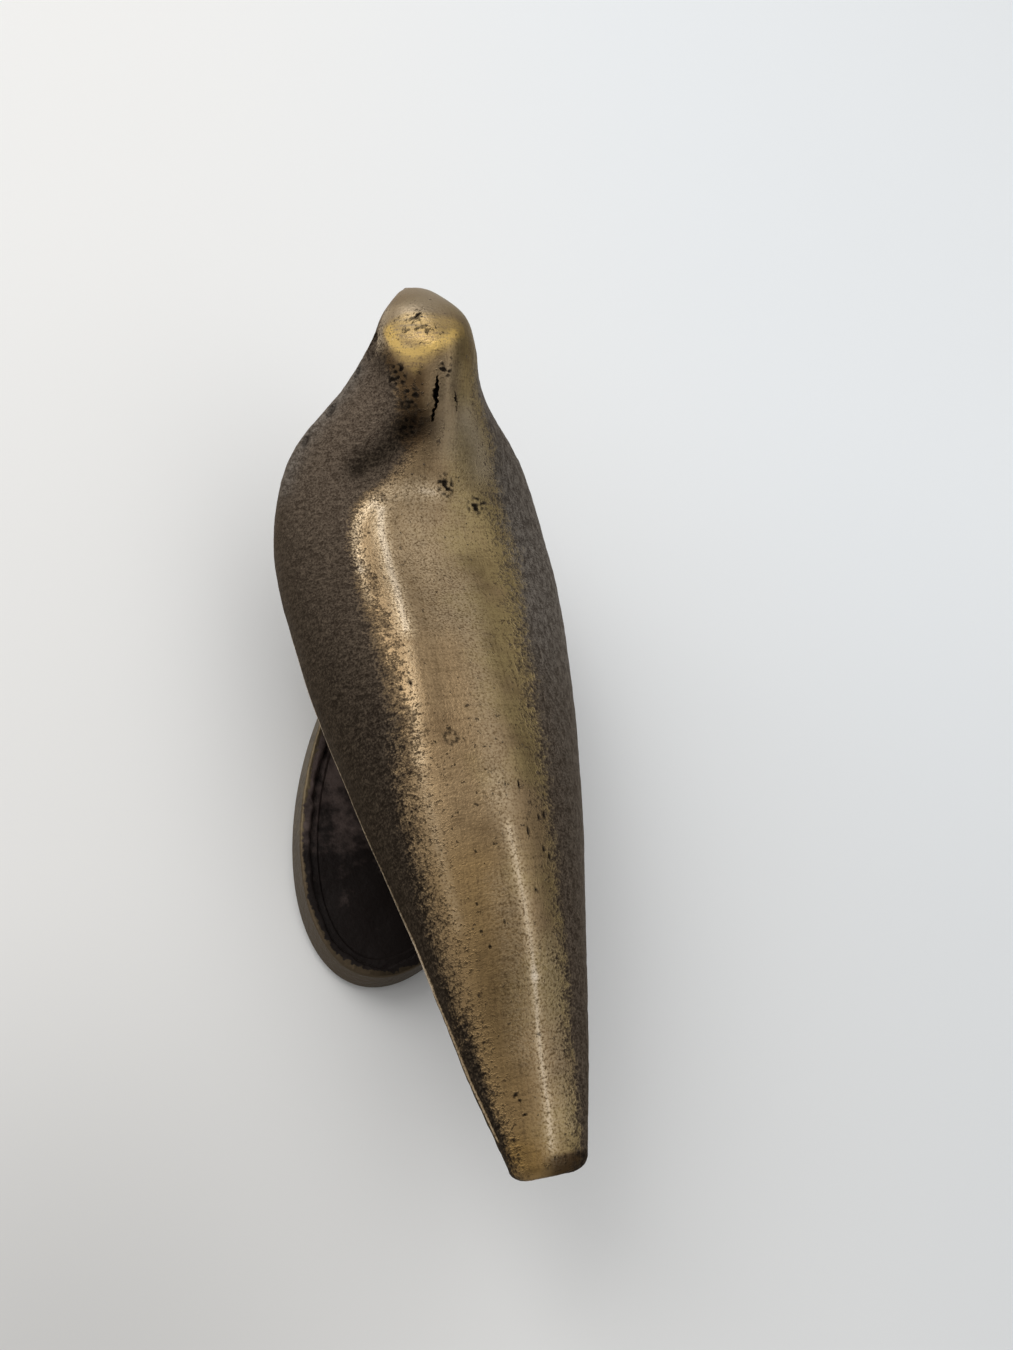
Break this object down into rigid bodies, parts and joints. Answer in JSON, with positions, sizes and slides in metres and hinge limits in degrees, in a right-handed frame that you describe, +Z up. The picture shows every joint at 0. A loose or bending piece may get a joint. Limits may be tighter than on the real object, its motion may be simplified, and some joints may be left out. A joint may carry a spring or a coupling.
{
  "type": "cast brass dove figurine on an oval foot",
  "caption": "Stylised dove cast in brass, with worn bright back and dark flanks, on a short stem and an oval dished foot.",
  "frame": {"origin": "centre of the felt's underside, on the axis of the fixing screw, on the surface that the object stands on", "axes": "+Z up, +Y towards the bird's tail, -Y towards its beak, +X towards the bird's left side"},
  "size_m": [0.0454, 0.1302, 0.0487],
  "materials": {
    "bird_brass": "cast skin with brown patina, worn satin-bright on the back and crown",
    "foot_brass": "cast, dark brown patina, worn to dull brass on the rim",
    "stem_brass": "turned, dulled",
    "screw_steel": "plain turned steel",
    "spring_steel": "oiled spring steel",
    "felt": "pressed wool felt, dark green"
  },
  "bodies": {
    "root": {"bird_casting": "bird_brass", "foot_casting": "foot_brass", "stem": "stem_brass", "fixing_screw": "screw_steel", "spring_washer": "spring_steel", "felt_pad": "felt"}
  },
  "joints": []
}
